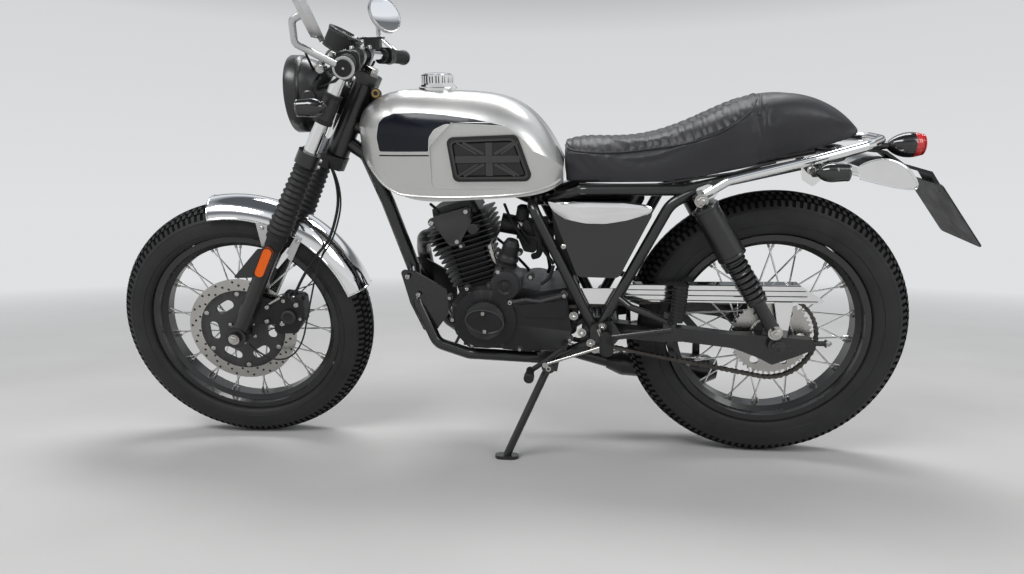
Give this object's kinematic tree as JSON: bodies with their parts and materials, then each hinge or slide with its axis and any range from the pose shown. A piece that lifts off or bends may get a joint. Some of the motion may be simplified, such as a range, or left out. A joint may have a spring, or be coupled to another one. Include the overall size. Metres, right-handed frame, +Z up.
{
  "type": "cafe racer motorcycle",
  "caption": "Light retro motorcycle with wire wheels, silver tank, humped black seat and gaitered fork, leaning on its side stand.",
  "frame": {"origin": "on the floor, under the middle of the machine's box as parked", "axes": "+X to the rear, +Y to the rider's right, +Z up from the floor; the machine leans 12 degrees to -Y"},
  "size_m": [2.0664, 0.8612, 1.2175],
  "materials": {
    "alloy": "brushed",
    "chrome": "polished",
    "engine_black": "satin",
    "frame_black": "gloss",
    "glass": "clear",
    "gloss_black": "gloss",
    "leather": "satin",
    "orange": "gloss",
    "red": "gloss",
    "rubber": "matte",
    "satin_black": "satin",
    "steel": "brushed",
    "tank_silver": "gloss",
    "tyre": "matte"
  },
  "bodies": {
    "frame": {"main_frame": "frame_black", "rear_frame": "frame_black", "engine_case": "engine_black", "engine_cylinder": "engine_black", "air_intake": "satin_black", "exhaust": "frame_black", "fuel_tank": "tank_silver", "filler_cap": "chrome", "knee_pads": "rubber", "seat": "leather", "side_covers": "gloss_black", "swingarm": "frame_black", "rear_shocks": "frame_black", "chain_guard": "chrome", "drive_chain": "steel", "foot_controls": "satin_black", "grab_rail": "chrome", "rear_mudguard": "chrome", "tail_lamp": "satin_black", "tail_lens": "red", "rear_indicators": "satin_black", "plate_carrier": "satin_black"},
    "steering": {"fork_yokes": "frame_black", "fork_tubes": "chrome", "fork_gaiters": "rubber", "fork_sliders": "frame_black", "brake_caliper": "engine_black", "brake_hose": "rubber", "front_mudguard": "chrome", "fork_reflectors": "orange", "handlebar": "chrome", "hand_grips": "rubber", "bar_controls": "satin_black", "bar_mirrors": "alloy", "headlamp": "gloss_black", "headlamp_lens": "glass", "instrument": "satin_black", "front_indicators": "satin_black"},
    "front_wheel": {"front_tyre": "tyre", "front_wheel": "frame_black", "front_disc": "steel"},
    "rear_wheel": {"rear_tyre": "tyre", "rear_wheel": "frame_black", "rear_sprocket": "steel"},
    "side_stand": {"side_stand": "frame_black"}
  },
  "joints": [
    {"name": "steering_turn", "type": "hinge", "parent": "frame", "child": "steering", "pos_m": [-0.38251, 0.05938, 0.83369], "axis": [0.4681, -0.1836, 0.8644], "range_deg": [-42.5, 29.5]},
    {"name": "front_wheel_spin", "type": "hinge", "parent": "steering", "child": "front_wheel", "pos_m": [-0.70959, 0.16447, 0.31586], "axis": [-0.1004, 0.9608, 0.2584], "continuous": true},
    {"name": "rear_wheel_spin", "type": "hinge", "parent": "frame", "child": "rear_wheel", "pos_m": [0.61016, 0.16743, 0.32695], "axis": [-0.0003, 0.9781, 0.2079], "continuous": true},
    {"name": "side_stand_fold", "type": "hinge", "parent": "frame", "child": "side_stand", "pos_m": [0.09031, 0.06677, 0.23212], "axis": [0.0103, -0.9997, -0.0219], "range_deg": [0, 111.3]}
  ]
}
